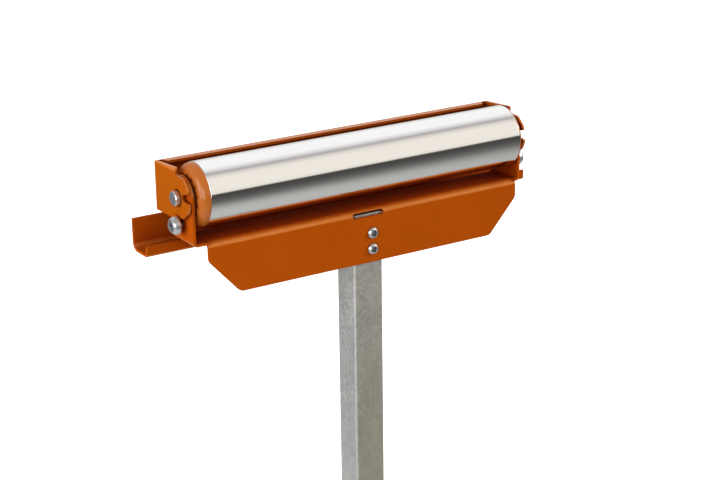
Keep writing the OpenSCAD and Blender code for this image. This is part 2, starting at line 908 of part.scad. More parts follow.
// Rubber foot under the toe of a leg
module foot() {
    color(black_rubber) translate([foot_r, 0, 0]) difference() {
        union() {
            cylinder(h = foot_bevel, d1 = foot_d - 2 * foot_bevel, d2 = foot_d);
            translate([0, 0, foot_bevel]) cylinder(h = foot_h - foot_bevel, d1 = foot_d, d2 = foot_top_d);
        }
        translate([0, 0, -overrun]) cylinder(h = foot_h + 2 * overrun, d = foot_screw_d + 2 * fit_gap);
        translate([0, 0, -overrun]) cylinder(h = foot_pocket + overrun, d = foot_pan_d + 2 * slide_gap);
    }
}

module foot_right() {
    foot();
}

module foot_left() {
    rotate(180) foot();
}

module foot_rear() {
    rotate(90) foot();
}

module foot_front() {
    rotate(-90) foot();
}

module each_leg() {
    for (turn = [0 : 90 : 270]) rotate(turn) children();
}

// Pan-head screws up through the feet
module foot_screws() {
    top = foot_h + leg_t + foot_nut_h + foot_screw_tail;
    color(zinc) each_leg() translate([foot_r, 0, 0]) {
        translate([0, 0, foot_pocket - foot_pan_h]) cylinder(h = foot_pan_h, d = foot_pan_d);
        translate([0, 0, foot_pocket]) cylinder(h = top - foot_pocket, d = foot_screw_d);
    }
}

module foot_nuts() {
    color(zinc) each_leg() translate([foot_r, 0, foot_h + leg_t]) difference() {
        hex_bar(foot_nut_key, foot_nut_h);
        translate([0, 0, -overrun])
            cylinder(h = foot_nut_h + 2 * overrun, d = foot_screw_d + 2 * fit_gap);
    }
}

// Places the children once for each bolt, along +X
module each_bolt() {
    for (z = bolt_side_z) translate([0, 0, z]) children();
    for (z = bolt_front_z) translate([0, 0, z]) rotate(90) children();
}

// Through bolts that pinch two opposite legs onto the column
module leg_bolts() {
    end = grip + washer_t + nut_h + bolt_tail;
    color(zinc) each_bolt() {
        rod_x(-grip - washer_t, end, bolt_d);
        translate([-grip - washer_t - bolt_head_h, 0, 0]) rotate([0, 90, 0]) hex_bar(bolt_key, bolt_head_h);
    }
}

module leg_washers() {
    color(bright_steel) each_bolt() both_ends() difference() {
        rod_x(grip, grip + washer_t, washer_d);
        rod_x(grip - overrun, grip + washer_t + overrun, bolt_d + 2 * fit_gap);
    }
}

module leg_nuts() {
    color(zinc) each_bolt() difference() {
        translate([grip + washer_t, 0, 0]) rotate([0, 90, 0]) hex_bar(bolt_key, nut_h);
        rod_x(grip, grip + washer_t + nut_h + overrun, bolt_d + 2 * fit_gap);
    }
}

head_bracket();
gutter_rail();
rail_rivets();
apron_screws();
screw_plate();
roller_axle();
axle_clips();
axle_spacers();
roller_tube();
roller_cap_left();
roller_cap_right();
bearing_inner_rings();
bearing_balls();
bearing_outer_rings();
guard_plate();
stop_screws();
inner_post();
post_plug();
outer_column();
column_bush();
column_end_cap();
clamp_boss();
clamp_pad();
clamp_screw();
clamp_knob();
leg_front();
leg_rear();
leg_left();
leg_right();
foot_front();
foot_rear();
foot_left();
foot_right();
leg_bolts();
leg_washers();
leg_nuts();
foot_screws();
foot_nuts();
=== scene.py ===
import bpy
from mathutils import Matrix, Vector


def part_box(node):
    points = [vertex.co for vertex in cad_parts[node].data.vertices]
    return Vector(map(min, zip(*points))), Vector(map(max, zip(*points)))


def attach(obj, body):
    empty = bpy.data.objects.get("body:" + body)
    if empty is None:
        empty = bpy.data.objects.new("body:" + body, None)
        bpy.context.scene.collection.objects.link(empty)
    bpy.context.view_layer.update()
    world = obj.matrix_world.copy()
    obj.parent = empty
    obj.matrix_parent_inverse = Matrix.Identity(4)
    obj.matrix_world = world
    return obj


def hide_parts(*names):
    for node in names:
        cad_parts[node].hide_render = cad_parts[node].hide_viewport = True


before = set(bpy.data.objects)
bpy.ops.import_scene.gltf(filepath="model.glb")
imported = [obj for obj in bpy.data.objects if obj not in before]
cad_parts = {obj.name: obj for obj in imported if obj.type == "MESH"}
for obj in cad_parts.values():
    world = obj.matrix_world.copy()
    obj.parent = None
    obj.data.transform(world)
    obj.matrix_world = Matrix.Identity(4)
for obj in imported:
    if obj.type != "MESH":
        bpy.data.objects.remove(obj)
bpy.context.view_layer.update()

import math

import bmesh
import bpy
from mathutils import Matrix, Vector

bl_info = {
    "name": "Roller stand",
    "version": (1, 0, 0),
    "blender": (4, 5, 0),
    "location": "View3D > Sidebar > Roller stand",
    "description": "Finishes and small parts of a roller stand, on its packed CAD frame",
    "category": "Object",
}

# Pieces that carry the orange powder coat
COATED = ("head_bracket", "gutter_rail", "guard_plate", "outer_column", "clamp_boss",
          "leg_front", "leg_rear", "leg_left", "leg_right")
CAPS = ("roller_cap_left", "roller_cap_right")
ZINC = ("inner_post", "screw_plate", "rail_rivets")
BRIGHT = ("roller_axle", "axle_clips", "axle_spacers", "bearing_inner_rings", "bearing_outer_rings",
          "bearing_balls", "apron_screws", "stop_screws", "leg_washers")
BLACK = ("post_plug", "column_bush", "column_end_cap", "clamp_knob")
FEET = ("foot_front", "foot_rear", "foot_left", "foot_right")

# Sizes below are in metres and angles in degrees. Modifiers: what is joined, what counts as flat, which edges
# are rounded, and the rounding of the small fasteners
JOINED, FLAT_ANGLE, EDGE_ANGLE = 0.00001, 0.6, 28.0
SMALL_ROUND, SMALL_ANGLE = 0.00015, 35.0
# The roller's tube, and the ribs inside its end caps with the rim they end on, whose pockets get painted shade
TUBE_WALL, TUBE_EDGE = 0.0015, 0.0004
CAP_RIBS, CAP_RIM = 15, 0.0216
# Clearance of the hole in the guard's ears round the axle, where a dark ring of painted shade stands for the
# gap
AXLE_SHADE_GAP = 0.0011

# M8 bolts and nuts of the legs, and at which heights they run along X and along Y
LEG_KEY, LEG_HEAD, LEG_NUT = 0.013, 0.0053, 0.008
LEG_RADIUS, LEG_PITCH, LEG_THREAD = 0.004, 0.00125, 0.02
LEG_BOLTS = (((1.0, 0.0, 0.0), (0.074, 0.122)), ((0.0, 1.0, 0.0), (0.092, 0.140)))
# M6 screws and nuts of the feet, with the outline of the pan head as (radius, height)
FOOT_KEY, FOOT_RADIUS, FOOT_TIP = 0.010, 0.003, 0.0022
FOOT_DEPTH, FOOT_PITCH, FOOT_THREAD = 0.0005, 0.001, 0.009
PAN_HEAD = ((0.004, 0.0), (0.0055, 0.0004), (0.0065, 0.0016), (0.0065, 0.004), (FOOT_RADIUS, 0.004))
NUT_PLAY = 0.0001
# The clamp screw and the dowel on its tip, as (radius, height)
CLAMP_DEPTH, CLAMP_PITCH, CLAMP_STEPS = 0.0008, 0.0015, 40
DOWEL_SHOWN = 0.0015
DOWEL = ((0.0026, 0.0), (0.003, 0.0004), (0.003, 0.003))
# One drop of each weld as (radius, height), how many drops lie side by side and how far out of the corner
BEAD = ((0.0002, -0.0009), (0.0012, -0.00075), (0.0018, -0.0002), (0.0018, 0.0002), (0.0012, 0.00075),
        (0.0002, 0.0009))
BEADS, BEAD_OUT = 46, 0.0001
TACK = ((0.0004, -0.0011), (0.0019, -0.0009), (0.0027, -0.0003), (0.0027, 0.0003), (0.0019, 0.0009),
        (0.0004, 0.0011))
TACKS, TACK_STEP, TACK_OUT, TACK_UP = 21, 0.0013, 0.0006, 0.0002
# Share of a key width that is the round end of a chamfered hexagon
HEX_ROUND = 0.96

# A noise mostly stays between these values
NOISE_LOW, NOISE_HIGH = 0.3, 0.7


class StandSizes(bpy.types.PropertyGroup):
    """Small sizes that finish the CAD pieces."""

    sheet_round: bpy.props.FloatProperty(
        name="Sheet edge", description="Rounding of the cut sheet edges under the coat",
        default=0.00035, min=0.0, max=0.001, unit="LENGTH", precision=5)
    metal_round: bpy.props.FloatProperty(
        name="Metal edge", description="Rounding of edges on turned and pressed metal",
        default=0.00025, min=0.0, max=0.001, unit="LENGTH", precision=5)
    plastic_round: bpy.props.FloatProperty(
        name="Plastic edge", description="Rounding of moulded edges",
        default=0.0005, min=0.0, max=0.002, unit="LENGTH", precision=5)
    tube_steps: bpy.props.IntProperty(
        name="Roller steps", description="Flats round the roller tube", default=256, min=48, max=512)


class StandFinish(bpy.types.PropertyGroup):
    """Colours of the finishes."""

    coat: bpy.props.FloatVectorProperty(
        name="Powder coat", description="Orange coat of the folded sheets", subtype="COLOR",
        default=(0.63, 0.112, 0.003), min=0.0, max=1.0, size=3)
    # The guard's coat is a little yellower than the sheets' coat
    guard: bpy.props.FloatVectorProperty(
        name="Guard coat", description="Orange coat of the guard, a little yellower than the sheets", subtype="COLOR",
        default=(0.60, 0.128, 0.002), min=0.0, max=1.0, size=3)
    # The thinner coat on cut edges, made lighter as a painted highlight, and also the colour of the painted
    # highlight on folds and under the guard's top
    edge_coat_and_highlight: bpy.props.FloatVectorProperty(
        name="Coat on edges", description="The thinner coat on cut edges, lightened there and on folds as a painted highlight", subtype="COLOR",
        default=(0.88, 0.285, 0.062), min=0.0, max=1.0, size=3)
    cap: bpy.props.FloatVectorProperty(
        name="End caps", description="Orange plastic of the roller's end caps", subtype="COLOR",
        default=(0.66, 0.18, 0.026), min=0.0, max=1.0, size=3)
    chrome: bpy.props.FloatVectorProperty(
        name="Chrome", description="Plated roller", subtype="COLOR",
        default=(0.93, 0.93, 0.935), min=0.0, max=1.0, size=3)
    zinc: bpy.props.FloatVectorProperty(
        name="Zinc coat", description="Galvanised post", subtype="COLOR",
        default=(0.74, 0.745, 0.735), min=0.0, max=1.0, size=3)
    bright: bpy.props.FloatVectorProperty(
        name="Bright zinc", description="Plated screws and axle", subtype="COLOR",
        default=(0.84, 0.88, 0.92), min=0.0, max=1.0, size=3)
    black: bpy.props.FloatVectorProperty(
        name="Black plastic", description="Knob, bush and plugs", subtype="COLOR",
        default=(0.022, 0.022, 0.024), min=0.0, max=1.0, size=3)
    rubber: bpy.props.FloatVectorProperty(
        name="Rubber", description="Feet", subtype="COLOR",
        default=(0.018, 0.018, 0.019), min=0.0, max=1.0, size=3)
    brass: bpy.props.FloatVectorProperty(
        name="Brass", description="Clamp pad", subtype="COLOR",
        default=(0.62, 0.41, 0.15), min=0.0, max=1.0, size=3)


class StandStudio(bpy.types.PropertyGroup):
    """Camera and light."""

    lens: bpy.props.FloatProperty(
        name="Lens", description="Focal length for a 36 mm wide picture", default=91.4, min=20.0, max=300.0)
    room: bpy.props.FloatProperty(
        name="Room light", description="Strength of the studio around the object", default=1.0,
        min=0.0, max=3.0)
    side: bpy.props.FloatProperty(
        name="Side light", description="Power of the lamp on the left", default=21.0, min=0.0, max=500.0,
        unit="POWER")
    corner: bpy.props.FloatProperty(
        name="Corner light", description="Power of the lamp at the front left", default=19.0, min=0.0,
        max=500.0, unit="POWER")
    front: bpy.props.FloatProperty(
        name="Front light", description="Power of the lamp above the front", default=34.0, min=0.0, max=500.0,
        unit="POWER")


def settings():
    return bpy.context.scene.stand_sizes, bpy.context.scene.stand_finish, bpy.context.scene.stand_studio


def node(tree, kind, inputs=None, **attributes):
    """A node with its attributes and unlinked inputs set. An input that is a socket is linked."""
    made = tree.nodes.new(kind)
    for name, value in attributes.items():
        setattr(made, name, value)
    for name, value in (inputs or {}).items():
        if isinstance(value, bpy.types.NodeSocket):
            tree.links.new(value, made.inputs[name])
        else:
            made.inputs[name].default_value = value
    return made


def math_node(tree, operation, a, b=None, clamp=False):
    inputs = {0: a}
    if b is not None:
        inputs[1] = b
    return node(tree, "ShaderNodeMath", inputs, operation=operation, use_clamp=clamp).outputs[0]


def remap(tree, value, low, high, to_low=0.0, to_high=1.0, kind="LINEAR"):
    return node(tree, "ShaderNodeMapRange", {
        "Value": value, "From Min": low, "From Max": high, "To Min": to_low, "To Max": to_high,
    }, interpolation_type=kind).outputs["Result"]


def spread(tree, noise, low=0.0, high=1.0):
    """Stretches a noise over a whole range."""
    return remap(tree, noise, NOISE_LOW, NOISE_HIGH, low, high)


def weighted(tree, *shares):
    """The sum of values, each times its share, given as (value, share) pairs."""
    total = None
    for value, share in shares:
        part = math_node(tree, "MULTIPLY", value, share)
        total = part if total is None else math_node(tree, "ADD", total, part)
    return total


def coordinate(tree, kind, index):
    """X, Y or Z (index 0, 1 or 2) of the shaded point ("Object") or of the way it faces ("Normal")."""
    place = node(tree, "ShaderNodeTexCoord").outputs[kind]
    return node(tree, "ShaderNodeSeparateXYZ", {0: place}).outputs[index]


def blend_colour(tree, factor, a, b):
    mix = node(tree, "ShaderNodeMix", data_type="RGBA")
    for index, value in ((0, factor), (6, a), (7, b)):
        if isinstance(value, bpy.types.NodeSocket):
            tree.links.new(value, mix.inputs[index])
        else:
            mix.inputs[index].default_value = value if index == 0 else (*value[:3], 1.0)
    return mix.outputs[2]


def shader_group(name, inputs, outputs):
    """A new shader node group with named float inputs and outputs."""
    tree = bpy.data.node_groups.new(name, "ShaderNodeTree")
    for title, default in inputs:
        socket = tree.interface.new_socket(title, in_out="INPUT", socket_type="NodeSocketFloat")
        socket.default_value = default
    for title in outputs:
        tree.interface.new_socket(title, in_out="OUTPUT", socket_type="NodeSocketFloat")
    return tree, tree.nodes.new("NodeGroupInput").outputs, tree.nodes.new("NodeGroupOutput").inputs


def object_noise(tree, scale, detail=2.0, stretch=None, roughness=0.5):
    place = node(tree, "ShaderNodeTexCoord").outputs["Object"]
    if stretch:
        place = node(tree, "ShaderNodeMapping", {"Vector": place, "Scale": stretch}).outputs[0]
    return node(tree, "ShaderNodeTexNoise", {
        "Vector": place, "Scale": scale, "Detail": detail, "Roughness": roughness}).outputs["Fac"]


def peel_group():
    """Orange peel of a sprayed or sintered coat, with slow changes of tone and gloss."""
    tree, given, out = shader_group("coat_peel", [("Grain", 900.0), ("Cloud", 14.0)],
                                    ["Height", "Tone", "Gloss"])
    fine = object_noise(tree, given["Grain"])
    wide = object_noise(tree, 260.0)
    cloud = object_noise(tree, given["Cloud"], detail=3.0)
    specks = object_noise(tree, 1700.0, detail=1.0)
    tree.links.new(weighted(tree, (fine, 0.6), (wide, 0.4)), out["Height"])
    tree.links.new(weighted(tree, (cloud, 0.7), (specks, 0.3)), out["Tone"])
    tree.links.new(weighted(tree, (cloud, 0.5), (wide, 0.5)), out["Gloss"])
    return tree


def spangle_group():
    """Mottled crystals and runs of a hot zinc coat."""
    tree, given, out = shader_group("zinc_spangle", [("Crystal", 420.0), ("Cloud", 55.0)],
                                    ["Height", "Tone", "Gloss"])
    place = node(tree, "ShaderNodeTexCoord").outputs["Object"]
    warp = node(tree, "ShaderNodeTexNoise", {"Vector": place, "Scale": 60.0, "Detail": 2.0}).outputs["Color"]
    bent = node(tree, "ShaderNodeVectorMath", {0: place}, operation="ADD")
    shift = node(tree, "ShaderNodeVectorMath", {0: warp, "Scale": 0.006}, operation="SCALE")
    tree.links.new(shift.outputs[0], bent.inputs[1])
    cells = node(tree, "ShaderNodeTexVoronoi", {"Vector": bent.outputs[0], "Scale": given["Crystal"]})
    tone = node(tree, "ShaderNodeSeparateColor", {0: cells.outputs["Color"]}).outputs[0]
    cloud = object_noise(tree, given["Cloud"], detail=4.0, stretch=(1.0, 1.0, 0.35), roughness=0.6)
    fine = object_noise(tree, 700.0, detail=3.0)
    tree.links.new(weighted(tree, (cloud, 0.5), (fine, 0.25), (tone, 0.25)), out["Tone"])
    tree.links.new(weighted(tree, (fine, 0.5), (cloud, 0.5)), out["Height"])
    tree.links.new(weighted(tree, (cloud, 0.6), (tone, 0.4)), out["Gloss"])
    return tree


def rub_group():
    """Turning lines across the X axis and faint handling marks."""
    tree, given, out = shader_group("turned_marks", [("Lines", 900.0), ("Smudge", 18.0)], ["Height", "Marks"])
    lines = object_noise(tree, given["Lines"], stretch=(1.0, 0.02, 0.02))
    smudge = object_noise(tree, given["Smudge"], detail=4.0, roughness=0.65)
    tree.links.new(lines, out["Height"])
    tree.links.new(remap(tree, smudge, 0.45, 0.75), out["Marks"])
    return tree


def fold_highlight_group():
    """Mask of the painted highlight on folds and rounded edges of flat sheet, where the surface turns away from
    all three axes but not up.
    """
    tree, given, out = shader_group("fold_highlight_mask", [("Start", 0.003), ("End", 0.07)], ["Mask"])
    facing = node(tree, "ShaderNodeTexCoord").outputs["Normal"]
    upright = node(tree, "ShaderNodeVectorMath", {0: facing}, operation="ABSOLUTE")
    split = node(tree, "ShaderNodeSeparateXYZ", {0: upright.outputs[0]}).outputs
    most = math_node(tree, "MAXIMUM", math_node(tree, "MAXIMUM", split[0], split[1]), split[2])
    patches = remap(tree, object_noise(tree, 90.0, detail=3.0), 0.35, 0.65, 0.75, 1.0)
    slant = math_node(tree, "SUBTRACT", 1.0, most)
    mask = remap(tree, slant, given["Start"], given["End"], kind="SMOOTHSTEP")
    beside = remap(tree, split[2], 0.62, 0.92, 1.0, 0.15, kind="SMOOTHSTEP")
    share = math_node(tree, "MULTIPLY", mask, beside)
    tree.links.new(math_node(tree, "MULTIPLY", share, patches), out["Mask"])
    return tree


MAKERS = {"peel": peel_group, "spangle": spangle_group, "turned": rub_group, "fold": fold_highlight_group}
GROUPS = {}


def effect(tree, name, **values):
    """Places one of the shared effects in a material and returns its outputs."""
    if name not in GROUPS:
        GROUPS[name] = MAKERS[name]()
    made = tree.nodes.new("ShaderNodeGroup")
    made.node_tree = GROUPS[name]
    for key, value in values.items():
        made.inputs[key].default_value = value
    return made.outputs


def start_material(name, **sockets):
    """A material with a Principled BSDF whose constant sockets are set."""
    made = bpy.data.materials.new(name)
    made.use_nodes = True
    tree = made.node_tree
    surface = tree.nodes["Principled BSDF"]
    for key, value in sockets.items():
        surface.inputs[key.replace("_", " ")].default_value = value
    return made, tree, surface


def bump(tree, surface, height, depth):
    made = node(tree, "ShaderNodeBump", {"Height": height, "Distance": depth})
    tree.links.new(made.outputs[0], surface.inputs["Normal"])


def shades(colour, dark, light):
    """A darker and a lighter shade of a colour."""
    return [c * dark for c in colour], [min(1.0, c * light) for c in colour]


def recess_mask(tree, reach, low, high):
    """One in narrow recesses and zero in the open, as a mask of painted shade. It reads how much stands round a
    point within a reach.
    """
    open_share = node(tree, "ShaderNodeAmbientOcclusion", {"Distance": reach}, samples=8).outputs["AO"]
    return remap(tree, open_share, low, high, 1.0, 0.0)


def round_axis(tree, axis):
    """Distance from an axis along X, angle round it, and one on faces square to it."""
    place = node(tree, "ShaderNodeTexCoord").outputs["Object"]
    off = node(tree, "ShaderNodeVectorMath", {0: place, 1: axis}, operation="SUBTRACT").outputs[0]
    flat = node(tree, "ShaderNodeVectorMath", {0: off, 1: (0.0, 1.0, 1.0)}, operation="MULTIPLY").outputs[0]
    reach = node(tree, "ShaderNodeVectorMath", {0: flat}, operation="LENGTH").outputs["Value"]
    split = node(tree, "ShaderNodeSeparateXYZ", {0: flat}).outputs
    facing = math_node(tree, "ABSOLUTE", coordinate(tree, "Normal", 0))
    return reach, math_node(tree, "ARCTAN2", split[2], split[1]), remap(tree, facing, 0.9, 0.98)


def rib_pocket_shade(tree, axis, count, rim):
    """One in the painted shade of pockets between moulded ribs that end on a rim round an axis."""
    reach, turn, square = round_axis(tree, axis)
    wave = math_node(tree, "COSINE", math_node(tree, "MULTIPLY", turn, float(count)))
    edge = math_node(tree, "ADD", reach, math_node(tree, "MULTIPLY", wave, -0.0011))
    inside = remap(tree, edge, rim, rim - 0.0022)
    depth = remap(tree, wave, -0.4, 0.6, 0.3, 0.9)
    return math_node(tree, "MULTIPLY", math_node(tree, "MULTIPLY", inside, square), depth)


def coat_material(name, colour, roughness, fold_highlight_colour=None, recess=0.0, lit_top_height=None, hole=None):
    """Powder coat with orange peel, and darker with painted shade in recesses up to a width.

    With a colour for the folds it gets a painted highlight in that colour and more gloss on its folds, and also
    on a band just under a given top height, where faces turned up get more gloss.
    A hole, given as (axis, radius), is a dark ring of painted shade round an axis along X.
    """
    tint = (1.0, 0.72, 0.45)
    made, tree, surface = start_material(name, IOR=1.5, Specular_IOR_Level=0.06, Specular_Tint=(*tint, 1.0))
    peel = effect(tree, "peel")
    tone = blend_colour(tree, spread(tree, peel["Tone"]), *shades(colour, 0.94, 1.05))
    rough = spread(tree, peel["Gloss"], roughness - 0.05, roughness + 0.05)
    # Painted shade: a mask of how enclosed a point is, at a wide and a narrow reach
    if recess:
        wide = recess_mask(tree, recess, 0.28, 0.85)
        narrow = recess_mask(tree, recess * 0.13, 0.3, 0.8)
        recess_shade = math_node(tree, "MAXIMUM", wide, narrow)
    # Painted highlight: folds get a lighter colour and more gloss, except where the painted shade lies
    if fold_highlight_colour:
        fold = effect(tree, "fold")["Mask"]
        if recess:
            outside_shade = math_node(tree, "POWER", math_node(tree, "SUBTRACT", 1.0, recess_shade), 2.0)
            fold = math_node(tree, "MULTIPLY", fold, outside_shade)
        # Painted highlight on a band just under the top height, in the lighter fold colour
        if lit_top_height:
            height = coordinate(tree, "Object", 2)
            top_highlight = remap(tree, height, lit_top_height - 0.0046, lit_top_height - 0.0022, 0.0, 0.9)
            fold = math_node(tree, "MAXIMUM", fold, top_highlight)
        tone = blend_colour(tree, fold, tone, fold_highlight_colour)
        rough = math_node(tree, "SUBTRACT", rough, math_node(tree, "MULTIPLY", fold, 0.1))
        gloss = remap(tree, fold, 0.0, 1.0, 0.06, 0.16)
        if lit_top_height:
            upward = remap(tree, coordinate(tree, "Normal", 2), 0.8, 0.97)
            gloss = math_node(tree, "ADD", gloss, math_node(tree, "MULTIPLY", upward, 0.6))
            pale = blend_colour(tree, upward, tint, (1.0, 0.95, 0.88))
            tree.links.new(pale, surface.inputs["Specular Tint"])
        tree.links.new(gloss, surface.inputs["Specular IOR Level"])
    # The painted shade darkens and reddens the colour in recesses
    if recess:
        tone = blend_colour(tree, recess_shade, tone, (colour[0] * 0.4, colour[1] * 0.2, colour[2] * 0.1))
        rough = math_node(tree, "ADD", rough, math_node(tree, "MULTIPLY", recess_shade, 0.5), clamp=True)
    # Painted shade: a dark ring round the axle stands for the gap in its hole
    if hole:
        axis, radius = hole
        reach, _, square = round_axis(tree, axis)
        gap_shade = math_node(tree, "MULTIPLY", remap(tree, reach, radius, radius - 0.0004), square)
        tone = blend_colour(tree, gap_shade, tone, (colour[0] * 0.08, colour[1] * 0.08, colour[2] * 0.5))
    tree.links.new(tone, surface.inputs["Base Color"])
    tree.links.new(rough, surface.inputs["Roughness"])
    bump(tree, surface, peel["Height"], 0.00005)
    return made


def chrome_material(name, colour):
    """Plated tube: faint lines along it, as bumps and as painted reflection streaks in its colour, turning
    marks and smudges.
    """
    made, tree, surface = start_material(name, Metallic=1.0)
    marks = effect(tree, "turned", Lines=1400.0, Smudge=12.0)
    drawn_lines_and_streaks = object_noise(tree, 420.0, stretch=(0.01, 1.0, 1.0))
    lines = remap(tree, drawn_lines_and_streaks, 0.35, 0.65)
    tree.links.new(remap(tree, marks["Marks"], 0.0, 1.0, 0.035, 0.075), surface.inputs["Roughness"])
    tone = blend_colour(tree, marks["Marks"], colour, [c * 0.97 for c in colour])
    # Painted reflection streaks along the tube, in its colour
    tree.links.new(blend_colour(tree, lines, tone, [c * 0.978 for c in colour]), surface.inputs["Base Color"])
    bump(tree, surface, weighted(tree, (marks["Height"], 1.0), (drawn_lines_and_streaks, 0.8)), 0.000004)
    return made


def zinc_material(name, colour, roughness):
    """Hot zinc coat, with painted shade where it is covered and inside, and a painted warm-tinted shade that
    grows downwards on the faces turned to front and back.
    """
    made, tree, surface = start_material(name, Metallic=0.75)
    spangle = effect(tree, "spangle")
    tone = spread(tree, spangle["Tone"])
    mottle = blend_colour(tree, tone, *shades(colour, 0.92, 1.07))
    # Painted shade with a warm tint, growing downwards on the faces turned to front and back
    front_shade_colour = (colour[0] * 0.77, colour[1] * 0.745, colour[2] * 0.66)
    front_shaded = blend_colour(tree, tone, *shades(front_shade_colour, 0.92, 1.07))
    low = remap(tree, coordinate(tree, "Object", 2), 0.88, 0.64, 0.12, 1.0)
    front = remap(tree, math_node(tree, "ABSOLUTE", coordinate(tree, "Normal", 1)), 0.5, 0.95)
    mottle = blend_colour(tree, math_node(tree, "MULTIPLY", low, front), mottle, front_shaded)
    # Painted shade where the post is covered and inside it
    hollow_shade = recess_mask(tree, 0.02, 0.2, 0.75)
    tree.links.new(blend_colour(tree, hollow_shade, mottle, [c * 0.2 for c in colour]), surface.inputs["Base Color"])
    rough = spread(tree, spangle["Gloss"], roughness - 0.08, roughness + 0.1)
    tree.links.new(rough, surface.inputs["Roughness"])
    bump(tree, surface, spangle["Height"], 0.00008)
    return made


def bright_material(name, colour, roughness=0.34):
    """Zinc plated or turned metal, with painted shade in its sockets and grooves."""
    made, tree, surface = start_material(name, Metallic=0.9)
    marks = effect(tree, "turned", Lines=1200.0, Smudge=160.0)
    # Painted shade in sockets and grooves
    hollow_shade = recess_mask(tree, 0.0035, 0.35, 0.85)
    tone = blend_colour(tree, marks["Marks"], colour, [c * 0.82 for c in colour])
    tree.links.new(blend_colour(tree, hollow_shade, tone, [c * 0.1 for c in colour]), surface.inputs["Base Color"])
    rough = remap(tree, marks["Marks"], 0.0, 1.0, roughness - 0.06, roughness + 0.1)
    tree.links.new(rough, surface.inputs["Roughness"])
    bump(tree, surface, marks["Height"], 0.00002)
    return made


def plastic_material(name, colour, roughness, depth=0.00003, grain=1500.0, ribs=None):
    """Moulded plastic with a fine grain. Ribs, given as (axis, count, rim), leave pockets of painted shade in
    its ends.
    """
    made, tree, surface = start_material(name, IOR=1.47)
    peel = effect(tree, "peel", Grain=grain, Cloud=40.0)
    shade = blend_colour(tree, spread(tree, peel["Tone"]), *shades(colour, 0.92, 1.08))
    if ribs:
        # Painted shade in the pockets between the ribs
        dark = (colour[0] * 0.36, colour[1] * 0.12, colour[2] * 0.2)
        shade = blend_colour(tree, rib_pocket_shade(tree, *ribs), shade, dark)
    tree.links.new(shade, surface.inputs["Base Color"])
    rough = spread(tree, peel["Gloss"], roughness - 0.05, roughness + 0.07)
    tree.links.new(rough, surface.inputs["Roughness"])
    bump(tree, surface, peel["Height"], depth)
    return made


def dress(name, materials, width, segments=2, edge_slot=-1):
    """Gives a CAD node its materials and rounds its sharp edges with modifiers. Its mesh stays as packed."""
    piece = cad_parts[name]
    mesh = piece.data
    if "custom_normal" in mesh.attributes:
        mesh.attributes.remove(mesh.attributes["custom_normal"])
    mesh.materials.clear()
    for material in materials:
        mesh.materials.append(material)
    mesh.polygons.foreach_set("material_index", [0] * len(mesh.polygons))
    mesh.shade_smooth()
    weld = piece.modifiers.new("Join", "WELD")
    weld.merge_threshold = JOINED
    flat = piece.modifiers.new("Flat faces", "DECIMATE")
    flat.decimate_type = "DISSOLVE"
    flat.angle_limit = math.radians(FLAT_ANGLE)
    soft = piece.modifiers.new("Edges", "BEVEL")
    soft.width = width
    soft.segments = segments
    soft.limit_method = "ANGLE"
    soft.angle_limit = math.radians(EDGE_ANGLE)
    soft.use_clamp_overlap = True
    soft.material = edge_slot
    piece.modifiers.new("Shading", "WEIGHTED_NORMAL").keep_sharp = False


class STAND_OT_sheets(bpy.types.Operator):
    """Coats the folded sheets, the column and the legs"""

    bl_idname = "stand.sheets"
    bl_label = "Coated sheets"

    def execute(self, context):
        sizes, finish, _ = settings()
        # The coats paint shade into recesses, and the sheets' and the guard's coats also paint a highlight on
        # folds
        coat = coat_material("orange_coat", finish.coat, 0.38, finish.edge_coat_and_highlight, 0.03)
        # The bevelled edges get the thinner edge coat, lightened as a painted highlight
        edge = coat_material("orange_coat_edge", finish.edge_coat_and_highlight, 0.33)
        plain = coat_material("orange_coat_base", finish.coat, 0.38, recess=0.03)
        low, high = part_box("roller_axle")
        middle = (low + high) / 2
        # The guard: a painted highlight just under its top, and a dark ring of painted shade round the axle
        guard = coat_material("orange_coat_guard", finish.guard, 0.38, finish.edge_coat_and_highlight, 0.03,
                              lit_top_height=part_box("guard_plate")[1].z,
                              hole=((0.0, middle.y, middle.z), (high.z - low.z) / 2 + AXLE_SHADE_GAP))
        for name in COATED:
            face = guard if name == "guard_plate" else plain if name.startswith(("leg", "clamp")) else coat
            dress(name, [face, edge], sizes.sheet_round, edge_slot=1)
        return {"FINISHED"}


def shape_tree(name, inputs):
    """A new Geometry Nodes tree with these (name, kind) inputs, and the sockets that give them."""
    tree = bpy.data.node_groups.new(name, "GeometryNodeTree")
    for title, kind in inputs:
        tree.interface.new_socket(title, in_out="INPUT", socket_type="NodeSocket" + kind)
    tree.interface.new_socket("Geometry", in_out="OUTPUT", socket_type="NodeSocketGeometry")
    return tree, tree.nodes.new("NodeGroupInput").outputs


def end_tree(tree, geometry, finish):
    """Ends a Geometry Nodes tree with plain geometry in one material."""
    realized = node(tree, "GeometryNodeRealizeInstances", {"Geometry": geometry})
    painted = node(tree, "GeometryNodeSetMaterial", {"Geometry": realized.outputs[0], "Material": finish})
    tree.links.new(painted.outputs[0], tree.nodes.new("NodeGroupOutput").inputs[0])
    return tree


def lay_down(tree, geometry):
    """Turns what stands along Z so that it lies along X."""
    return node(tree, "GeometryNodeTransform", {
        "Geometry": geometry, "Rotation": (0.0, math.radians(90.0), 0.0)}).outputs[0]


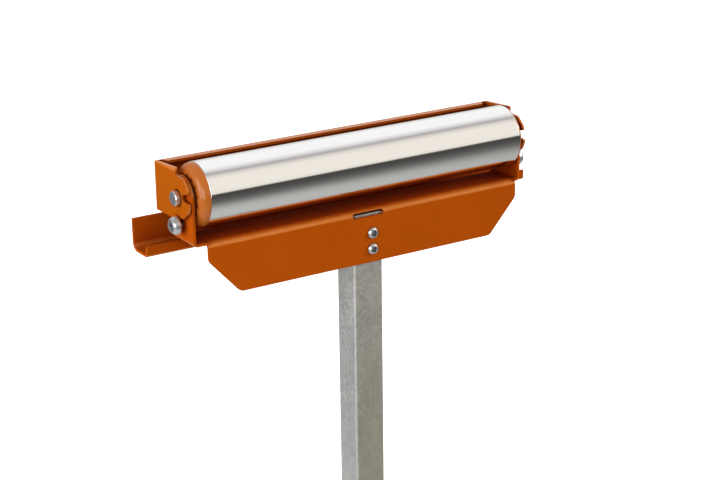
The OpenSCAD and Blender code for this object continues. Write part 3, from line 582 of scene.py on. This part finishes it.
def sweep_tree():
    """Geometry Nodes: a wall section of given length swept round the X axis."""
    tree, given = shape_tree("turned_shell", (
        ("Length", "Float"), ("Radius", "Float"), ("Wall", "Float"), ("Edge", "Float"), ("Steps", "Int"),
        ("Finish", "Material")))
    half_wall = math_node(tree, "MULTIPLY", given["Wall"], 0.5)
    middle = math_node(tree, "SUBTRACT", given["Radius"], half_wall)
    ring = node(tree, "GeometryNodeCurvePrimitiveCircle", {"Resolution": given["Steps"], "Radius": middle})
    section = node(tree, "GeometryNodeCurvePrimitiveQuadrilateral",
                   {"Width": given["Wall"], "Height": given["Length"]})
    rounded = node(tree, "GeometryNodeFilletCurve", {
        "Curve": section.outputs[0], "Count": 3, "Radius": given["Edge"]}, mode="POLY")
    shell = node(tree, "GeometryNodeCurveToMesh",
                 {"Curve": ring.outputs[0], "Profile Curve": rounded.outputs[0]})
    smooth = node(tree, "GeometryNodeSetShadeSmooth", {"Geometry": lay_down(tree, shell.outputs[0])})
    return end_tree(tree, smooth.outputs[0], given["Finish"])


def linked(name, data):
    """A new object of the scene."""
    made = bpy.data.objects.new(name, data)
    bpy.context.scene.collection.objects.link(made)
    return made


def grow(name, tree, values, place=Vector()):
    """Runs a Geometry Nodes tree with these input values and returns the result as a plain mesh object."""
    maker = linked(name + "_maker", bpy.data.meshes.new(name + "_maker"))
    modifier = maker.modifiers.new("Shape", "NODES")
    modifier.node_group = tree
    sockets = {s.name: s.identifier for s in tree.interface.items_tree if s.in_out == "INPUT"}
    for title, value in values.items():
        modifier[sockets[title]] = value
    bpy.context.view_layer.update()
    graph = bpy.context.evaluated_depsgraph_get()
    mesh = bpy.data.meshes.new_from_object(maker.evaluated_get(graph))
    bpy.data.objects.remove(maker)
    mesh.name = name
    mesh.transform(Matrix.Translation(place))
    return linked(name, mesh)


def outward(mesh):
    """Turns all faces of closed shells outwards."""
    work = bmesh.new()
    work.from_mesh(mesh)
    bmesh.ops.remove_doubles(work, verts=work.verts, dist=0.000002)
    bmesh.ops.recalc_face_normals(work, faces=work.faces)
    work.to_mesh(mesh)
    work.free()


class STAND_OT_roller(bpy.types.Operator):
    """Turns the chrome tube and finishes the end caps"""

    bl_idname = "stand.roller"
    bl_label = "Roller"

    def execute(self, context):
        sizes, finish, _ = settings()
        low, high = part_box("roller_tube")
        middle = (low + high) / 2
        chrome = chrome_material("roller_chrome", finish.chrome)
        tube = grow("roller_shell", sweep_tree(), {
            "Length": high.x - low.x, "Radius": (high.z - low.z) / 2, "Wall": TUBE_WALL, "Edge": TUBE_EDGE,
            "Steps": sizes.tube_steps, "Finish": chrome}, middle)
        outward(tube.data)
        tube.data.shade_smooth()
        tube.modifiers.new("Shading", "WEIGHTED_NORMAL").keep_sharp = False
        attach(tube, "roller")
        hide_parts("roller_tube")
        plastic = plastic_material("orange_plastic", finish.cap, 0.2,
                                   ribs=((0.0, middle.y, middle.z), CAP_RIBS, CAP_RIM))
        for name in CAPS:
            dress(name, [plastic], sizes.plastic_round)
        return {"FINISHED"}


def turned_shape(name, rows, closed=False, steps=48):
    """A mesh of rings round Z. A row is (radius, height) or gives it for an angle.

    A closed shape joins its last row to its first, and any other is capped at both ends.
    """
    work = bmesh.new()
    rings = []
    for row in rows:
        ring = []
        for step in range(steps):
            angle = 2 * math.pi * step / steps
            radius, height = row(angle) if callable(row) else row
            ring.append(work.verts.new((radius * math.cos(angle), radius * math.sin(angle), height)))
        rings.append(ring)
    pairs = list(zip(rings, rings[1:] + rings[:1])) if closed else list(zip(rings, rings[1:]))
    for low, high in pairs:
        for step in range(steps):
            after = (step + 1) % steps
            work.faces.new((low[step], low[after], high[after], high[step]))
    if not closed:
        work.faces.new(list(reversed(rings[0])))
        work.faces.new(rings[-1])
    mesh = bpy.data.meshes.new(name)
    work.to_mesh(mesh)
    work.free()
    outward(mesh)
    return mesh


def hexagon(key, height, shift=0.0):
    """A ring row along a hexagon. A shift of 1 or -1 raises or lowers its corners, as a chamfer's cone does."""
    inner = key / 2 * HEX_ROUND

    def row(angle):
        off = math.fmod(angle, math.pi / 3) - math.pi / 6
        radius = key / 2 / math.cos(off)
        return radius, height + shift * (radius - inner) / 2
    return row


def thread_rows(radius, depth, pitch, low, high):
    """Rows that cut the crests of a thread between two heights."""
    rows = []
    for turn in range(max(1, int((high - low) / pitch))):
        base = low + turn * pitch
        rows += [(radius - depth, base), (radius, base + pitch * 0.45), (radius, base + pitch * 0.6)]
    return rows


def bolt_shape(name, key, head, radius, length, pitch, thread):
    """A hexagon bolt along +Z with its head under zero, and threads at its end."""
    round_top = key / 2 * HEX_ROUND
    depth = pitch * 0.6
    return turned_shape(name, [
        (round_top * 0.5, -head), (round_top, -head), hexagon(key, -head, 1.0), hexagon(key, -0.0002),
        (key / 2 * 0.9, 0.0), (radius, 0.0), (radius, length - thread),
        *thread_rows(radius, depth, pitch, length - thread, length - pitch * 0.8),
        (radius - depth, length - pitch * 0.3), (radius - depth * 1.4, length)])


def nut_shape(name, key, height, hole):
    """A hexagon nut that stands on zero along +Z."""
    round_end = key / 2 * HEX_ROUND
    return turned_shape(name, [
        (hole, 0.0), (round_end, 0.0), hexagon(key, 0.0, 1.0), hexagon(key, height, -1.0), (round_end, height),
        (hole * 1.12, height), (hole, height - hole * 0.12)], closed=True)


def placing_tree():
    """Geometry Nodes: a shape set on each point of a place mesh, turned along the point's own direction."""
    tree, given = shape_tree("placed_fasteners", (
        ("Places", "Object"), ("Shape", "Object"), ("Finish", "Material")))
    spots = node(tree, "GeometryNodeObjectInfo", {"Object": given["Places"]}).outputs["Geometry"]
    shape = node(tree, "GeometryNodeObjectInfo", {"Object": given["Shape"]}).outputs["Geometry"]
    along = node(tree, "GeometryNodeInputNamedAttribute", {"Name": "along"}, data_type="FLOAT_VECTOR")
    turn = node(tree, "FunctionNodeAlignRotationToVector", {"Vector": along.outputs[0]}, axis="Z")
    placed = node(tree, "GeometryNodeInstanceOnPoints",
                  {"Points": spots, "Instance": shape, "Rotation": turn.outputs[0]})
    return end_tree(tree, placed.outputs[0], given["Finish"])


def place_shapes(name, tree, shape, places, finish, body, *replaced):
    """Sets a shape at (point, direction) places with the placing tree, as one piece on a body."""
    spots = bpy.data.meshes.new(name + "_places")
    spots.from_pydata([point for point, _ in places], [], [])
    along = spots.attributes.new("along", "FLOAT_VECTOR", "POINT")
    for index, (_, way) in enumerate(places):
        along.data[index].vector = way
    holder, pattern = linked(name + "_spots", spots), linked(name + "_shape", shape)
    piece = grow(name, tree, {"Places": holder, "Shape": pattern, "Finish": finish})
    for helper in (holder, pattern):
        bpy.data.objects.remove(helper)
    piece.data.shade_smooth()
    soft = piece.modifiers.new("Edges", "BEVEL")
    soft.width = SMALL_ROUND
    soft.segments = 1
    soft.limit_method = "ANGLE"
    soft.angle_limit = math.radians(SMALL_ANGLE)
    piece.modifiers.new("Shading", "WEIGHTED_NORMAL").keep_sharp = False
    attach(piece, body)
    if replaced:
        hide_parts(*replaced)
    return piece


def thread_tree():
    """Geometry Nodes: a screw core along X with a helical thread on it."""
    tree, given = shape_tree("screw_thread", (
        ("Length", "Float"), ("Radius", "Float"), ("Depth", "Float"), ("Pitch", "Float"), ("Steps", "Int"),
        ("Finish", "Material")))
    core_radius = math_node(tree, "SUBTRACT", given["Radius"], given["Depth"])
    core = node(tree, "GeometryNodeMeshCylinder", {
        "Vertices": 64, "Radius": core_radius, "Depth": given["Length"]})
    run = math_node(tree, "SUBTRACT", given["Length"], given["Pitch"])
    path = node(tree, "GeometryNodeCurveSpiral", {
        "Resolution": given["Steps"], "Rotations": math_node(tree, "DIVIDE", run, given["Pitch"]),
        "Start Radius": core_radius, "End Radius": core_radius, "Height": run})
    upright = node(tree, "GeometryNodeSetCurveNormal", {"Curve": path.outputs[0]}, mode="Z_UP")
    crest = node(tree, "GeometryNodeCurvePrimitiveCircle", {"Resolution": 4, "Radius": given["Depth"]})
    ridge = node(tree, "GeometryNodeCurveToMesh", {
        "Curve": upright.outputs[0], "Profile Curve": crest.outputs[0], "Fill Caps": True})
    shift = node(tree, "ShaderNodeCombineXYZ", {2: math_node(tree, "MULTIPLY", run, -0.5)})
    centred = node(tree, "GeometryNodeTransform", {
        "Geometry": ridge.outputs[0], "Translation": shift.outputs[0]})
    both = tree.nodes.new("GeometryNodeJoinGeometry")
    tree.links.new(core.outputs[0], both.inputs[0])
    tree.links.new(centred.outputs[0], both.inputs[0])
    return end_tree(tree, lay_down(tree, both.outputs[0]), given["Finish"])


def leg_bolts(tree, bright):
    seat = -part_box("leg_washers")[0].x
    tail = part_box("leg_bolts")[1].x
    bolt = bolt_shape("bolt", LEG_KEY, LEG_HEAD, LEG_RADIUS, seat + tail, LEG_PITCH, LEG_THREAD)
    nut = nut_shape("nut", LEG_KEY, LEG_NUT, LEG_RADIUS + NUT_PLAY)
    bolts, nuts = [], []
    for way, levels in LEG_BOLTS:
        for level in levels:
            middle = Vector((0.0, 0.0, level))
            bolts.append((middle - seat * Vector(way), way))
            nuts.append((middle + seat * Vector(way), way))
    place_shapes("leg_bolt_set", tree, bolt, bolts, bright, "base", "leg_bolts")
    place_shapes("leg_nut_set", tree, nut, nuts, bright, "base", "leg_nuts")


def foot_screws(tree, bright):
    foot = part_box("foot_right")
    reach = (foot[0].x + foot[1].x) / 2
    spots = [Matrix.Rotation(math.radians(90 * turn), 3, "Z") @ Vector((reach, 0.0, 0.0)) for turn in range(4)]
    low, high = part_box("foot_nuts")
    nut = nut_shape("foot_nut", FOOT_KEY, high.z - low.z, FOOT_RADIUS + NUT_PLAY)
    nuts = [(Vector((spot.x, spot.y, low.z)), (0.0, 0.0, 1.0)) for spot in spots]
    place_shapes("foot_nut_set", tree, nut, nuts, bright, "base", "foot_nuts")
    low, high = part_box("foot_screws")
    length = high.z - low.z
    pan = turned_shape("foot_screw", [
        *PAN_HEAD, (FOOT_RADIUS, length - FOOT_THREAD),
        *thread_rows(FOOT_RADIUS, FOOT_DEPTH, FOOT_PITCH, length - FOOT_THREAD, length - 0.0008),
        (FOOT_RADIUS - FOOT_DEPTH, length - 0.0003), (FOOT_TIP, length)])
    screws = [(Vector((spot.x, spot.y, low.z)), (0.0, 0.0, 1.0)) for spot in spots]
    place_shapes("foot_screw_set", tree, pan, screws, bright, "base", "foot_screws")


def clamp_thread(bright):
    low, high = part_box("clamp_screw")
    start = low.x + DOWEL_SHOWN
    height = (low.z + high.z) / 2
    screw = grow("clamp_thread", thread_tree(), {
        "Length": high.x - start, "Radius": (high.z - low.z) / 2, "Depth": CLAMP_DEPTH,
        "Pitch": CLAMP_PITCH, "Steps": CLAMP_STEPS, "Finish": bright,
    }, Vector(((start + high.x) / 2, 0.0, height)))
    outward(screw.data)
    dowel = turned_shape("dowel", DOWEL)
    laid = Matrix.Translation((low.x, 0.0, height)) @ Matrix.Rotation(math.radians(90.0), 4, "Y")
    dowel.transform(laid)
    work = bmesh.new()
    work.from_mesh(screw.data)
    work.from_mesh(dowel)
    work.to_mesh(screw.data)
    work.free()
    screw.data.materials.clear()
    screw.data.materials.append(bright)
    screw.data.polygons.foreach_set("material_index", [0] * len(screw.data.polygons))
    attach(screw, "knob")
    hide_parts("clamp_screw")


def welds(tree, coat):
    """The weld round the clamp boss, and the tack welds between the post and the bracket's floor."""
    low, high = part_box("clamp_boss")
    ring, height = (high.z - low.z) / 2, (low.z + high.z) / 2
    beads = []
    for step in range(BEADS):
        angle = 2 * math.pi * step / BEADS
        beads.append((Vector((low.x + BEAD_OUT, ring * math.cos(angle), height + ring * math.sin(angle))),
                      (0.0, -math.sin(angle), math.cos(angle))))
    weld = place_shapes("boss_weld", tree, turned_shape("bead", BEAD, steps=16), beads, coat, "base")
    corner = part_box("inner_post")[1]
    drops = []
    for way in (-1, 1):
        for step in range(TACKS):
            along = TACK_STEP * (step - TACKS // 2)
            place = Vector((way * (corner.x + TACK_OUT), along, corner.z + TACK_UP))
            drops.append((place, (0.0, 1.0, 0.0)))
    tacks = place_shapes("post_weld", tree, turned_shape("drop", TACK, steps=16), drops, coat, "mast")


class STAND_OT_fasteners(bpy.types.Operator):
    """Bolts, nuts, the clamp screw's thread and the welds"""

    bl_idname = "stand.fasteners"
    bl_label = "Bolts, thread and welds"

    def execute(self, context):
        tree = placing_tree()
        bright = bpy.data.materials["zinc_steel"]
        leg_bolts(tree, bright)
        foot_screws(tree, bright)
        clamp_thread(bright)
        welds(tree, bpy.data.materials["orange_coat_base"])
        return {"FINISHED"}


class STAND_OT_metal(bpy.types.Operator):
    """Finishes the post, the screws, the axle and the rivets"""

    bl_idname = "stand.metal"
    bl_label = "Post and screws"

    def execute(self, context):
        sizes, finish, _ = settings()
        zinc = zinc_material("galvanised", finish.zinc, 0.5)
        for name in ZINC:
            dress(name, [zinc], sizes.metal_round)
        bright = bright_material("zinc_steel", finish.bright)
        for name in BRIGHT:
            dress(name, [bright], sizes.metal_round)
        dress("clamp_pad", [bright_material("pad_brass", finish.brass, 0.3)], sizes.metal_round)
        return {"FINISHED"}


class STAND_OT_plastics(bpy.types.Operator):
    """Finishes the black plastic and the rubber feet"""

    bl_idname = "stand.plastics"
    bl_label = "Plastic and rubber"

    def execute(self, context):
        sizes, finish, _ = settings()
        black = plastic_material("black_plastic", finish.black, 0.46, 0.00008, 700.0)
        for name in BLACK:
            dress(name, [black], sizes.plastic_round, 3)
        rubber = plastic_material("foot_rubber", finish.rubber, 0.66, 0.0001, 500.0)
        for name in FEET:
            dress(name, [rubber], sizes.plastic_round, 3)
        return {"FINISHED"}


def area_lamp(name, place, height, size, power, colour):
    """A soft lamp that shines at the stand's axis at this height."""
    data = bpy.data.lights.new(name, "AREA")
    data.shape = "RECTANGLE"
    data.size, data.size_y = size
    data.energy = power
    data.color = colour
    lamp = linked(name, data)
    lamp.location = place
    lamp.rotation_euler = (Vector((0.0, 0.0, height)) - Vector(place)).to_track_quat("-Z", "Y").to_euler()


# Light of the room as seen from the roller: an angle in degrees, from below (-180) to the front (0), the top
# (90) and the back (180), and the colour there
ROOM = [(-180.0, (0.40, 0.39, 0.37)), (-60.0, (0.30, 0.30, 0.30)), (-30.0, (0.10, 0.10, 0.10)),
        (-4.0, (0.07, 0.064, 0.056)), (4.5, (0.075, 0.069, 0.059)), (8.0, (0.80, 0.76, 0.70)),
        (16.0, (0.92, 0.87, 0.78)), (58.0, (0.92, 0.87, 0.78)), (70.0, (0.74, 0.69, 0.65)),
        (80.0, (0.45, 0.42, 0.41)), (92.0, (0.78, 0.77, 0.76)), (106.0, (1.0, 1.0, 1.0)),
        (148.0, (1.0, 1.0, 1.0)), (166.0, (0.80, 0.80, 0.78)), (180.0, (0.66, 0.63, 0.58))]


def colour_ramp(tree, value, stops):
    """A colour that changes with a value from 0 to 1, given as (place, colour) pairs."""
    ramp = node(tree, "ShaderNodeValToRGB", {0: value})
    elements = ramp.color_ramp.elements
    while len(elements) > 1:
        elements.remove(elements[-1])
    for index, (place, colour) in enumerate(stops):
        stop = elements[0] if index == 0 else elements.new(place)
        stop.position = place
        stop.color = (*colour, 1.0)
    return ramp.outputs[0]


def room_world(strength):
    """White for the camera, and for everything else a studio that changes round the roller and to its left."""
    world = bpy.data.worlds.new("Studio")
    bpy.context.scene.world = world
    world.use_nodes = True
    tree = world.node_tree
    tree.nodes.clear()
    way = node(tree, "ShaderNodeTexCoord").outputs["Generated"]
    split = node(tree, "ShaderNodeSeparateXYZ", {0: way}).outputs
    turn = math_node(tree, "ARCTAN2", split[2], math_node(tree, "MULTIPLY", split[1], -1.0))
    share = math_node(tree, "ADD", math_node(tree, "MULTIPLY", turn, 0.5 / math.pi), 0.5)
    light = colour_ramp(tree, share, [(angle / 360.0 + 0.5, colour) for angle, colour in ROOM])
    side = remap(tree, split[0], -0.1, 0.38, 0.42)
    room = node(tree, "ShaderNodeBackground", {
        "Color": light, "Strength": math_node(tree, "MULTIPLY", side, strength)})
    white = node(tree, "ShaderNodeBackground", {"Color": (1.0, 1.0, 1.0, 1.0), "Strength": 1.0})
    seen = node(tree, "ShaderNodeLightPath").outputs["Is Camera Ray"]
    mix = node(tree, "ShaderNodeMixShader", {0: seen})
    tree.links.new(room.outputs[0], mix.inputs[1])
    tree.links.new(white.outputs[0], mix.inputs[2])
    out = node(tree, "ShaderNodeOutputWorld")
    tree.links.new(mix.outputs[0], out.inputs[0])


# Painted shade of the floor: its grey by its distance from the stand in metres, darker further away, as the
# roller's underside sees it, and its tint
FLOOR = [(0.5, 0.60), (0.73, 0.57), (1.0, 0.50), (1.4, 0.35), (2.0, 0.21), (2.6, 0.165), (3.7, 0.15),
         (8.0, 0.14)]
FLOOR_TINT = (0.98, 1.015, 1.03)
FLOOR_HALF, FLOOR_HEIGHT = 9.0, -0.0005


def floor_material():
    """Pale floor: white with the object's shadow to the camera, and else a painted shade that grows darker away
    from the stand.
    """
    made = bpy.data.materials.new("pale_floor")
    made.use_nodes = True
    tree = made.node_tree
    tree.nodes.clear()
    place = node(tree, "ShaderNodeTexCoord").outputs["Object"]
    far = node(tree, "ShaderNodeVectorMath", {0: place}, operation="LENGTH").outputs["Value"]
    end = FLOOR[-1][0]
    stops = [(distance / end, [grey * tint for tint in FLOOR_TINT]) for distance, grey in FLOOR]
    ramp = colour_ramp(tree, math_node(tree, "DIVIDE", far, end), stops)
    plain = node(tree, "ShaderNodeBsdfDiffuse", {"Color": ramp})
    near = remap(tree, far, 0.35, 1.3)
    lit = node(tree, "ShaderNodeBsdfDiffuse", {"Color": (0.84, 0.84, 0.84, 1.0)})
    level = remap(tree, near, 0.0, 1.0, 0.5, 1.0)
    glow = node(tree, "ShaderNodeEmission", {"Color": (1.0, 1.0, 1.0, 1.0), "Strength": level})
    seen_floor = node(tree, "ShaderNodeAddShader")
    tree.links.new(lit.outputs[0], seen_floor.inputs[0])
    tree.links.new(glow.outputs[0], seen_floor.inputs[1])
    mix = node(tree, "ShaderNodeMixShader", {0: node(tree, "ShaderNodeLightPath").outputs["Is Camera Ray"]})
    tree.links.new(plain.outputs[0], mix.inputs[1])
    tree.links.new(seen_floor.outputs[0], mix.inputs[2])
    tree.links.new(mix.outputs[0], node(tree, "ShaderNodeOutputMaterial").inputs[0])
    return made


# The photograph's camera, worked out from straight edges in it: degrees round, up and rolled, and its place
CAMERA_ANGLES = (-32.37, 18.82, -0.77)
CAMERA_PLACE = (-0.8787, -1.3872, 1.3991)


def photo_camera(lens):
    """The photograph's camera."""
    across, up, roll = (math.radians(angle) for angle in CAMERA_ANGLES)
    right = Vector((math.cos(across), math.sin(across), 0.0))
    back = Vector((math.sin(across) * math.cos(up), -math.cos(across) * math.cos(up), math.sin(up)))
    top = back.cross(right)
    side = math.cos(roll) * right + math.sin(roll) * top
    upward = -math.sin(roll) * right + math.cos(roll) * top
    data = bpy.data.cameras.new("Photo")
    data.sensor_width = 36.0
    data.lens = lens
    camera = linked("Photo", data)
    camera.matrix_world = Matrix((
        (side.x, upward.x, back.x, CAMERA_PLACE[0]), (side.y, upward.y, back.y, CAMERA_PLACE[1]),
        (side.z, upward.z, back.z, CAMERA_PLACE[2]), (0.0, 0.0, 0.0, 1.0)))
    bpy.context.scene.camera = camera


class STAND_OT_studio(bpy.types.Operator):
    """Sets the floor, the room light, the three lamps and the camera"""

    bl_idname = "stand.studio"
    bl_label = "Studio"

    def execute(self, context):
        _, _, studio = settings()
        context.scene.view_settings.view_transform = "Standard"
        mesh = bpy.data.meshes.new("floor")
        corners = [(x * FLOOR_HALF, y * FLOOR_HALF, FLOOR_HEIGHT)
                   for x, y in ((-1, -1), (1, -1), (1, 1), (-1, 1))]
        mesh.from_pydata(corners, [], [(0, 1, 2, 3)])
        mesh.materials.append(floor_material())
        linked("floor", mesh)
        room_world(studio.room)
        area_lamp("Side light", (-2.4, 0.15, 1.25), 0.75, (1.1, 1.5), studio.side, (0.97, 0.99, 1.0))
        area_lamp("Corner light", (-2.2, -1.4, 1.3), 0.88, (1.0, 1.2), studio.corner, (1.0, 0.98, 0.94))
        area_lamp("Front light", (3.0, -1.7, 2.3), 0.85, (1.2, 0.9), studio.front, (1.0, 0.915, 0.78))
        photo_camera(studio.lens)
        return {"FINISHED"}


class STAND_PT_panel(bpy.types.Panel):
    """Lists the pieces of the stand and their settings"""

    bl_label = "Roller stand"
    bl_idname = "STAND_PT_panel"
    bl_space_type = "VIEW_3D"
    bl_region_type = "UI"
    bl_category = "Roller stand"

    def draw(self, context):
        for group in (context.scene.stand_sizes, context.scene.stand_finish, context.scene.stand_studio):
            box = self.layout.box()
            for name in group.__annotations__:
                box.prop(group, name)
        for operator in OPERATORS:
            self.layout.operator(operator.bl_idname)


OPERATORS = (STAND_OT_sheets, STAND_OT_roller, STAND_OT_metal, STAND_OT_fasteners, STAND_OT_plastics,
             STAND_OT_studio)
CLASSES = (StandSizes, StandFinish, StandStudio, *OPERATORS, STAND_PT_panel)


def register():
    for made in CLASSES:
        bpy.utils.register_class(made)
    bpy.types.Scene.stand_sizes = bpy.props.PointerProperty(type=StandSizes)
    bpy.types.Scene.stand_finish = bpy.props.PointerProperty(type=StandFinish)
    bpy.types.Scene.stand_studio = bpy.props.PointerProperty(type=StandStudio)


def unregister():
    del bpy.types.Scene.stand_studio
    del bpy.types.Scene.stand_finish
    del bpy.types.Scene.stand_sizes
    for made in reversed(CLASSES):
        bpy.utils.unregister_class(made)


def main():
    register()
    bpy.ops.stand.sheets()
    bpy.ops.stand.roller()
    bpy.ops.stand.metal()
    bpy.ops.stand.fasteners()
    bpy.ops.stand.plastics()
    bpy.ops.stand.studio()


if __name__ == "__main__":
    main()
